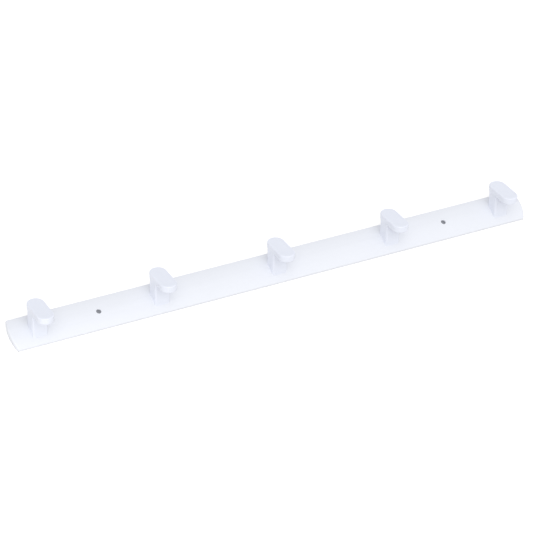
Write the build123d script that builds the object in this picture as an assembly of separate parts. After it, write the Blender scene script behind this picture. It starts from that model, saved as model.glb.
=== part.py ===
from build123d import *
import math
import os

# A wall coat rack: one long crowned rail pressed from sheet steel, with five cast hooks
# screwed to it from behind. Millimetres. X runs along the rail, +Z is up on the wall,
# and the rack stands out from the wall towards -Y. The origin is the middle of the
# rail's crown, halfway between the two wall holes, where the screw heads bear.

# Rail
RAIL_LENGTH = 600.0
RAIL_HEIGHT = 36.5
RAIL_SKIRT = 2.5
RAIL_CROWN = 4.0
RAIL_END_BOW = 3.6
SHEET = 1.2
BEND_RADIUS = 1.6
CORNER_RADIUS = 2.4
WALL_HOLE_DIAMETER = 5.5

# Hooks
HOOK_COUNT = 5
END_MARGIN = 30.0
HOOK_REACH = 28.7
STEM_LEAN = 28.2
STEM_ROOT_HEIGHT = 1.4
STEM_WIDTH = 16.4
STEM_DEPTH = 14.8
STEM_CORNER = 2.0
HEAD_WIDTH = 18.1
HEAD_LENGTH = 41.8
HEAD_THICKNESS = 7.6
HEEL_OVERHANG = 5.0
HEAD_FACE_EDGE = 1.2
HEAD_BACK_EDGE = 1.4
STEM_FILLET = 0.6

# Screws that hold the hooks
SCREW_DIAMETER = 4.0
SCREW_LENGTH = 10.0
SCREW_HEAD_DIAMETER = 8.0
SCREW_HEAD_HEIGHT = 2.6
SCREW_HEAD_EDGE = 1.2
SCREW_CLEARANCE = 0.4
SEAT_DIAMETER = 9.0
THREAD_PLAY = 0.05
BORE_SPARE_DEPTH = 1.5
RECESS_LENGTH = 4.4
RECESS_WIDTH = 1.1
RECESS_DEPTH = 1.5

# Sizes that follow from those above
RAIL_DEPTH = RAIL_CROWN + RAIL_SKIRT
HOOK_PITCH = (RAIL_LENGTH - 2 * END_MARGIN) / (HOOK_COUNT - 1)
WALL_HOLE_SPACING = (HOOK_COUNT - 2) * HOOK_PITCH
HEAD_LIFT = HEAD_LENGTH / 2 - HEEL_OVERHANG - STEM_DEPTH / 2
BORE_DEPTH = SCREW_LENGTH - SHEET + BORE_SPARE_DEPTH


def hook_places():
    """X of each hook, evenly spaced about the middle of the rail."""
    return [(index - (HOOK_COUNT - 1) / 2) * HOOK_PITCH for index in range(HOOK_COUNT)]


def rail_section(back):
    """Upright section of the rail: square skirts under a low arc, closed at Y = back."""
    half = RAIL_HEIGHT / 2
    lower_edge = (RAIL_CROWN, -half)
    upper_edge = (RAIL_CROWN, half)
    crown = ThreePointArc(lower_edge, (0, 0), upper_edge)
    skirts = Polyline(upper_edge, (back, half), (back, -half), lower_edge)
    return make_face([crown, skirts])


def rail_outline():
    """Front view of the rail: two straight long edges between bowed ends."""
    half = RAIL_HEIGHT / 2
    tip = RAIL_LENGTH / 2
    corner = tip - RAIL_END_BOW
    upper = Line((-corner, half), (corner, half))
    right = ThreePointArc((corner, half), (tip, 0), (corner, -half))
    lower = Line((corner, -half), (-corner, -half))
    left = ThreePointArc((-corner, -half), (-tip, 0), (-corner, half))
    outline = make_face([upper, right, lower, left])
    return fillet(outline.vertices(), CORNER_RADIUS)


def rail_form(back=RAIL_DEPTH):
    """The rail's outer form as a full solid, before it is hollowed."""
    bar = extrude(Plane.YZ * rail_section(back), amount=RAIL_LENGTH, both=True)
    return bar & extrude(Plane.XZ * rail_outline(), amount=2 * back, both=True)


def front_rim(form):
    """The closed line where the crown turns into the skirt, all the way round."""
    crown_face = form.faces().filter_by(GeomType.CYLINDER).sort_by(Axis.Y)[0]
    return crown_face.edges()


def wall_hole():
    """One clearance bore for a wall screw, at the middle of the rail."""
    return Plane.XZ * Cylinder(WALL_HOLE_DIAMETER / 2, 4 * RAIL_DEPTH)


def hook_screw_hole():
    """One clearance bore for a hook's screw, with a flat seat for its head behind."""
    bore = Plane.XZ * Cylinder((SCREW_DIAMETER + SCREW_CLEARANCE) / 2, 4 * RAIL_DEPTH)
    seat = Cylinder(SEAT_DIAMETER / 2, RAIL_DEPTH, align=(Align.CENTER, Align.CENTER, Align.MAX))
    return bore + Plane.XZ.offset(-SHEET) * seat


def make_rail():
    """The pressed steel shell, open at the back, with its seven holes on one line."""
    form = rail_form()
    form = fillet(front_rim(form), BEND_RADIUS)
    back_face = form.faces().sort_by(Axis.Y)[-1]
    shell = offset(form, amount=-SHEET, openings=back_face, kind=Kind.INTERSECTION)
    for side in (-1, 1):
        shell -= Pos(side * WALL_HOLE_SPACING / 2, 0, 0) * wall_hole()
    for place in hook_places():
        shell -= Pos(place, 0, 0) * hook_screw_hole()
    return shell


def hook_plane():
    """Plane square to the leaning stem: its z runs out along the stem, its y up the head."""
    lean = math.radians(STEM_LEAN)
    outward = (0, -math.cos(lean), -math.sin(lean))
    return Plane(origin=(0, 0, STEM_ROOT_HEIGHT), x_dir=(1, 0, 0), z_dir=outward)


def make_head():
    """The oblong head plate, with softened edges, in the hook's own plane."""
    outline = Rot(0, 0, 90) * SlotOverall(HEAD_LENGTH, HEAD_WIDTH)
    plate = Pos(0, HEAD_LIFT, HOOK_REACH - HEAD_THICKNESS) * extrude(outline, HEAD_THICKNESS)
    plate = fillet(plate.faces().sort_by(Axis.Z)[-1].edges(), HEAD_FACE_EDGE)
    return fillet(plate.faces().sort_by(Axis.Z)[0].edges(), HEAD_BACK_EDGE)


def make_stem():
    """The square stem, from inside the rail up into the head."""
    outline = RectangleRounded(STEM_WIDTH, STEM_DEPTH, STEM_CORNER)
    root = STEM_DEPTH / 2
    return Pos(0, 0, -root) * extrude(outline, root + HOOK_REACH - HEAD_THICKNESS / 2)


def make_hook():
    """One cast hook: head and stem in one piece, with a saddle that seats on the crown."""
    head = make_head()
    stem = make_stem()
    casting = head + stem
    under_face = HOOK_REACH - HEAD_THICKNESS
    joint = [edge for edge in casting.edges() if is_stem_joint(edge, under_face)]
    casting = hook_plane() * fillet(joint, STEM_FILLET)
    casting -= rail_form(back=RAIL_DEPTH + STEM_DEPTH)
    return casting - Plane.XZ * Cylinder(SCREW_DIAMETER / 2, 2 * BORE_DEPTH)


def is_stem_joint(edge, under_face):
    """True for an edge of the ring where the stem meets the underside of the head."""
    centre = edge.center()
    in_plane = abs(centre.Z - under_face) < 0.01
    in_width = abs(centre.X) < (STEM_WIDTH + 0.01) / 2
    in_depth = abs(centre.Y) < (STEM_DEPTH + 0.01) / 2
    return in_plane and in_width and in_depth


def make_screw():
    """One pan head screw with a cross recess, its head seat at Z = 0 and its tip at +Z."""
    radius = SCREW_DIAMETER / 2 - THREAD_PLAY
    shank = Cylinder(radius, SCREW_LENGTH, align=(Align.CENTER, Align.CENTER, Align.MIN))
    shank = chamfer(shank.faces().sort_by(Axis.Z)[-1].edges(), radius / 3)
    below = (Align.CENTER, Align.CENTER, Align.MAX)
    head = Cylinder(SCREW_HEAD_DIAMETER / 2, SCREW_HEAD_HEIGHT, align=below)
    head = fillet(head.faces().sort_by(Axis.Z)[0].edges(), SCREW_HEAD_EDGE)
    slot = Box(RECESS_LENGTH, RECESS_WIDTH, RECESS_DEPTH, align=(Align.CENTER, Align.CENTER, Align.MIN))
    recess = slot + Rot(0, 0, 90) * slot
    return head + shank - Pos(0, 0, -SCREW_HEAD_HEIGHT) * recess


def make_hook_screws():
    """The five equal screws, heads inside the rail, as separate solids."""
    screw = Plane.XZ.offset(-SHEET) * make_screw()
    return Compound(children=[Pos(place, 0, 0) * screw for place in hook_places()])


def main_pieces():
    """Every piece of the rack by its name."""
    pieces = {"rail": make_rail(), "hook_screws": make_hook_screws()}
    hook = make_hook()
    for number, place in enumerate(hook_places(), start=1):
        pieces[f"hook_{number}"] = Pos(place, 0, 0) * hook
    return pieces


os.makedirs("parts", exist_ok=True)
for name, piece in main_pieces().items():
    export_step(piece, f"parts/{name}.step")
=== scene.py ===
import math

import bpy
from mathutils import Matrix, Vector


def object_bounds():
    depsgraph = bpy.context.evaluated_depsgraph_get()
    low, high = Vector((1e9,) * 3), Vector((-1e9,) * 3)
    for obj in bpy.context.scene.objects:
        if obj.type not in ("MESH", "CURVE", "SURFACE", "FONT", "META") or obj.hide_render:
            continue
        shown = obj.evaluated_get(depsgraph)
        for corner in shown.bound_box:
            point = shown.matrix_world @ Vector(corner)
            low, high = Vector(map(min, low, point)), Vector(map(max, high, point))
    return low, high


# The rack as it comes from the workshop
# Every solid of it is kept, so this file only gives the pieces their finish, sets them
# down on their back in a white studio and looks at them from the photographer's place.
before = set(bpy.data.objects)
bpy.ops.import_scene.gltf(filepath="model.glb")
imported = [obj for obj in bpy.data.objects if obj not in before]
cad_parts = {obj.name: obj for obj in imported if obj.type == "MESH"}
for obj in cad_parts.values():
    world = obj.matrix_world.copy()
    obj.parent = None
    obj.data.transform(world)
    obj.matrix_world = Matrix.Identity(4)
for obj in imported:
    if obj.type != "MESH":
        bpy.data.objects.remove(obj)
cad_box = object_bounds()


# White powder coat on the rail and the hooks
# Pressed steel and zinc castings, sprayed and baked in one smooth satin white. The coat
# flows a little thicker in places, which leaves a faint orange peel and a slow waviness.
HOOK_COUNT = 5
RAIL_WHITE = (0.862, 0.878, 0.92)
HOOK_WHITE = (0.865, 0.892, 0.972)
THICK_COAT_SHADE = 0.975
RAIL_WAVE_SIZE = 0.05
HOOK_WAVE_SIZE = 0.02
RAIL_PEEL_SIZE = 0.0016
HOOK_PEEL_SIZE = 0.0013
PEEL_HEIGHT = 0.00004
PEEL_STRENGTH = 0.25
COAT_ROUGHNESS = 0.38
GLOSS_SPREAD = 0.05
CLEAR_LAYER = 0.15
CLEAR_LAYER_ROUGHNESS = 0.2


def new_material(name):
    """New material, with its nodes and its way to link them."""
    made = bpy.data.materials.new(name)
    made.use_nodes = True
    return made, made.node_tree.nodes, made.node_tree.links.new


def noise(nodes, link, per_metre, detail):
    """Smooth noise on the piece's own coordinates, with this many cells in a metre."""
    place = nodes.new("ShaderNodeTexCoord")
    pattern = nodes.new("ShaderNodeTexNoise")
    pattern.inputs["Scale"].default_value = per_metre
    pattern.inputs["Detail"].default_value = detail
    link(place.outputs["Object"], pattern.inputs["Vector"])
    return pattern.outputs["Fac"]


def blend_colours(nodes, link, share, first, second):
    """The first colour, with more of the second where the share is larger."""
    blend = nodes.new("ShaderNodeMix")
    blend.data_type = "RGBA"
    blend.inputs["A"].default_value = (*first, 1.0)
    blend.inputs["B"].default_value = (*second, 1.0)
    link(share, blend.inputs["Factor"])
    return blend.outputs["Result"]


def between(nodes, link, share, low, high):
    """A number that goes from low to high as the share goes from 0 to 1."""
    limits = nodes.new("ShaderNodeMapRange")
    limits.inputs["To Min"].default_value = low
    limits.inputs["To Max"].default_value = high
    link(share, limits.inputs["Value"])
    return limits.outputs["Result"]


def powder_coat(name, white, wave_size, peel_size):
    """Satin white paint: two close whites mixed by slow noise, and fine noise as bump."""
    coat, nodes, link = new_material(name)
    shader = nodes["Principled BSDF"]
    thick_white = [part * THICK_COAT_SHADE for part in white]
    wave = noise(nodes, link, 1.0 / wave_size, detail=2.0)
    tint = blend_colours(nodes, link, wave, white, thick_white)
    link(tint, shader.inputs["Base Color"])
    peel = noise(nodes, link, 1.0 / peel_size, detail=3.0)
    gloss = between(nodes, link, peel, COAT_ROUGHNESS - GLOSS_SPREAD, COAT_ROUGHNESS + GLOSS_SPREAD)
    link(gloss, shader.inputs["Roughness"])
    bump = nodes.new("ShaderNodeBump")
    bump.inputs["Strength"].default_value = PEEL_STRENGTH
    bump.inputs["Distance"].default_value = PEEL_HEIGHT
    link(peel, bump.inputs["Height"])
    link(bump.outputs["Normal"], shader.inputs["Normal"])
    shader.inputs["IOR"].default_value = 1.5
    shader.inputs["Coat Weight"].default_value = CLEAR_LAYER
    shader.inputs["Coat Roughness"].default_value = CLEAR_LAYER_ROUGHNESS
    return coat


def finish_node(node, material):
    """Gives every material slot of a kept solid the same finish."""
    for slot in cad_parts[node].material_slots:
        slot.material = material


finish_node("rail", powder_coat("rail powder coat", RAIL_WHITE, RAIL_WAVE_SIZE, RAIL_PEEL_SIZE))
hook_coat = powder_coat("hook powder coat", HOOK_WHITE, HOOK_WAVE_SIZE, HOOK_PEEL_SIZE)
for number in range(1, HOOK_COUNT + 1):
    finish_node(f"hook_{number}", hook_coat)


# Zinc plated screws
# Five equal pan head screws hold the hooks from inside the rail. Bright zinc over
# steel: pale grey metal with a slight blue cast, a little duller in clouds.
ZINC = (0.66, 0.67, 0.69)
ZINC_DULL = (0.56, 0.58, 0.61)
ZINC_SMOOTH = 0.24
ZINC_ROUGH = 0.42
CLOUDS_PER_METRE = 900.0


def zinc_plate():
    """Metal whose colour and gloss wander between a bright and a dull zinc."""
    plate, nodes, link = new_material("bright zinc")
    shader = nodes["Principled BSDF"]
    shader.inputs["Metallic"].default_value = 1.0
    cloud = noise(nodes, link, CLOUDS_PER_METRE, detail=4.0)
    link(blend_colours(nodes, link, cloud, ZINC, ZINC_DULL), shader.inputs["Base Color"])
    link(between(nodes, link, cloud, ZINC_SMOOTH, ZINC_ROUGH), shader.inputs["Roughness"])
    return plate


finish_node("hook_screws", zinc_plate())


# White studio table
# The rack lies on its back on a white sheet, so the sheet is the wall plane. The camera sees
# it as pure white with a faint shade. Under the rail a grey card of painted shade shows through
# the wall holes as the dark inside of the rail; it keeps no light from the rail's back.
TABLE_REACH = 6.0
TABLE_GAP = 0.0002
TABLE_WHITE = (0.61, 0.6, 0.585)
TABLE_LIFT = 0.55
# Painted shade: the card's grey stands in for the shade inside the rail, seen through the wall
# holes.
PAINTED_HOLE_SHADE_GREY = (0.33, 0.335, 0.355)
PAPER_ROUGHNESS = 0.9
WINDOW_INSET = 0.0001
RAIL_END_BOW = 0.0036
END_STEPS = 16


def window_outline():
    """Outline of the rail's back on the sheet, as x and z: the right end, then the left."""
    tip = cad_box[1].x - WINDOW_INSET
    half = cad_box[1].z - WINDOW_INSET
    heights = [half * (2 * step / END_STEPS - 1) for step in range(END_STEPS + 1)]
    right = [(tip - RAIL_END_BOW * (height / half) ** 2, height) for height in heights]
    left = [(-x, -z) for x, z in right]
    return right + left


def table_sheet():
    """Large sheet in the plane of the rail's back, facing the rack, with the window first."""
    back = cad_box[1].y + TABLE_GAP
    rail_top = cad_box[1].z
    inner = window_outline()
    outer = [(math.copysign(TABLE_REACH, x), z / rail_top * TABLE_REACH) for x, z in inner]
    corners = [(x, back, z) for x, z in inner + outer]
    count = len(inner)
    faces = [tuple(range(count))]
    for index in range(count):
        after = (index + 1) % count
        faces.append((index, count + index, count + after, after))
    mesh = bpy.data.meshes.new("white sheet")
    mesh.from_pydata(corners, [], faces)
    sheet = bpy.data.objects.new("white_sheet", mesh)
    bpy.context.scene.collection.objects.link(sheet)
    return sheet


def paper(name, white):
    """Matt paper material, with its nodes and its way to link them."""
    made, nodes, link = new_material(name)
    shader = nodes["Principled BSDF"]
    shader.inputs["Base Color"].default_value = (*white, 1.0)
    shader.inputs["Roughness"].default_value = PAPER_ROUGHNESS
    return made, nodes, link


def clear_where(nodes, link, share, shown):
    """Shows the given shader, and nothing where the share is 1."""
    clear = nodes.new("ShaderNodeBsdfTransparent")
    mix = nodes.new("ShaderNodeMixShader")
    link(share, mix.inputs["Fac"])
    link(shown, mix.inputs[1])
    link(clear.outputs["BSDF"], mix.inputs[2])
    link(mix.outputs["Shader"], nodes["Material Output"].inputs["Surface"])


def lit_paper():
    """White paper that the camera and mirrors see lifted to full white, clear from behind."""
    made, nodes, link = paper("white paper", TABLE_WHITE)
    ray = nodes.new("ShaderNodeLightPath")
    seen = nodes.new("ShaderNodeMath")
    seen.operation = "MAXIMUM"
    link(ray.outputs["Is Camera Ray"], seen.inputs[0])
    link(ray.outputs["Is Glossy Ray"], seen.inputs[1])
    lift = nodes.new("ShaderNodeEmission")
    lift.inputs["Color"].default_value = (TABLE_LIFT, TABLE_LIFT, TABLE_LIFT, 1.0)
    link(seen.outputs["Value"], lift.inputs["Strength"])
    both = nodes.new("ShaderNodeAddShader")
    link(nodes["Principled BSDF"].outputs["BSDF"], both.inputs[0])
    link(lift.outputs["Emission"], both.inputs[1])
    side = nodes.new("ShaderNodeNewGeometry")
    clear_where(nodes, link, side.outputs["Backfacing"], both.outputs["Shader"])
    return made


def painted_shade_card():
    """Painted shade: grey card that only the camera sees, from the front, and that all light
    passes.
    """
    made, nodes, link = paper("painted shade card", PAINTED_HOLE_SHADE_GREY)
    ray = nodes.new("ShaderNodeLightPath")
    side = nodes.new("ShaderNodeNewGeometry")
    front = nodes.new("ShaderNodeMath")
    front.operation = "SUBTRACT"
    link(ray.outputs["Is Camera Ray"], front.inputs[0])
    link(side.outputs["Backfacing"], front.inputs[1])
    passed = nodes.new("ShaderNodeMath")
    passed.operation = "LESS_THAN"
    passed.inputs[1].default_value = 0.5
    link(front.outputs["Value"], passed.inputs[0])
    clear_where(nodes, link, passed.outputs["Value"], nodes["Principled BSDF"].outputs["BSDF"])
    return made


sheet = table_sheet()
sheet.data.materials.append(lit_paper())
sheet.data.materials.append(painted_shade_card())
# The window under the rail gets the grey card of painted shade.
sheet.data.polygons[0].material_index = 1


# Soft light
# One wide soft lamp stands almost straight over the rack as it lies, and an even, slightly
# cool sky fills the rest, so no face is burnt out. A small weak lamp low beside the rack's
# right end makes the nearest hooks a little lighter than the far ones.
SKY_COLOUR = (0.99, 1.0, 1.03)
SKY_STRENGTH = 0.735
KEY_PLACE = Vector((0.15, -0.92, 0.36))
KEY_STRENGTH = 1.05
KEY_SPREAD = 0.9
SIDE_PLACE = Vector((0.55, -0.055, 0.3))
SIDE_POWER = 0.2
SIDE_SIZE = 0.08


def white_sky():
    """World that lights at a plain level and shows as pure white to the camera."""
    sky = bpy.data.worlds.new("white sky")
    sky.use_nodes = True
    nodes = sky.node_tree.nodes
    link = sky.node_tree.links.new
    fill = nodes["Background"]
    fill.inputs["Color"].default_value = (*SKY_COLOUR, 1.0)
    fill.inputs["Strength"].default_value = SKY_STRENGTH
    white = nodes.new("ShaderNodeBackground")
    white.inputs["Color"].default_value = (1.0, 1.0, 1.0, 1.0)
    white.inputs["Strength"].default_value = 1.0
    ray = nodes.new("ShaderNodeLightPath")
    either = nodes.new("ShaderNodeMixShader")
    link(ray.outputs["Is Camera Ray"], either.inputs["Fac"])
    link(fill.outputs["Background"], either.inputs[1])
    link(white.outputs["Background"], either.inputs[2])
    link(either.outputs["Shader"], nodes["World Output"].inputs["Surface"])
    return sky


def hang_lamp(name, data, place):
    """Puts a lamp in the scene at its place, turned to the middle of the rail."""
    lamp = bpy.data.objects.new(name, data)
    bpy.context.scene.collection.objects.link(lamp)
    lamp.location = place
    lamp.rotation_mode = "QUATERNION"
    lamp.rotation_quaternion = place.to_track_quat("Z", "Y")
    return lamp


def soft_key():
    """Wide soft lamp, like a large diffuser far beyond its place."""
    data = bpy.data.lights.new("soft key", "SUN")
    data.energy = KEY_STRENGTH
    data.angle = KEY_SPREAD
    hang_lamp("soft_key", data, KEY_PLACE)


def side_lamp():
    """Small weak lamp that the camera doesn't see."""
    data = bpy.data.lights.new("side lamp", "AREA")
    data.energy = SIDE_POWER
    data.size = SIDE_SIZE
    lamp = hang_lamp("side_lamp", data, SIDE_PLACE)
    lamp.visible_camera = False


bpy.context.scene.world = white_sky()
soft_key()
side_lamp()


# Camera
# It looks down on the rack from beyond its right end, as the photographer did. Its place
# and its axes are those at which the rack's outline falls on the photograph's.
FRAME_SIDE = 533.0
SENSOR_WIDTH = 36.0
FOCAL_PIXELS = 2608.4
CLIP_START = 0.05
CLIP_END = 50.0
CAMERA_PLACE = Vector((1.0986, -2.2216, 1.1122))
CAMERA_RIGHT = Vector((-0.88683, -0.2347, 0.39805))
CAMERA_DOWN = Vector((0.22964, 0.52367, 0.82039))


def photographer():
    """Camera with its axes set from the picture's right and down directions."""
    data = bpy.data.cameras.new("photographer")
    data.sensor_width = SENSOR_WIDTH
    data.lens = FOCAL_PIXELS / FRAME_SIDE * SENSOR_WIDTH
    data.clip_start = CLIP_START
    data.clip_end = CLIP_END
    camera = bpy.data.objects.new("photographer", data)
    bpy.context.scene.collection.objects.link(camera)
    right = CAMERA_RIGHT.normalized()
    up = -(CAMERA_DOWN - CAMERA_DOWN.dot(right) * right).normalized()
    back = right.cross(up)
    turn = Matrix((right, up, back)).transposed()
    camera.matrix_world = Matrix.Translation(CAMERA_PLACE) @ turn.to_4x4()
    return camera


bpy.context.scene.camera = photographer()
bpy.context.scene.view_settings.view_transform = "Standard"
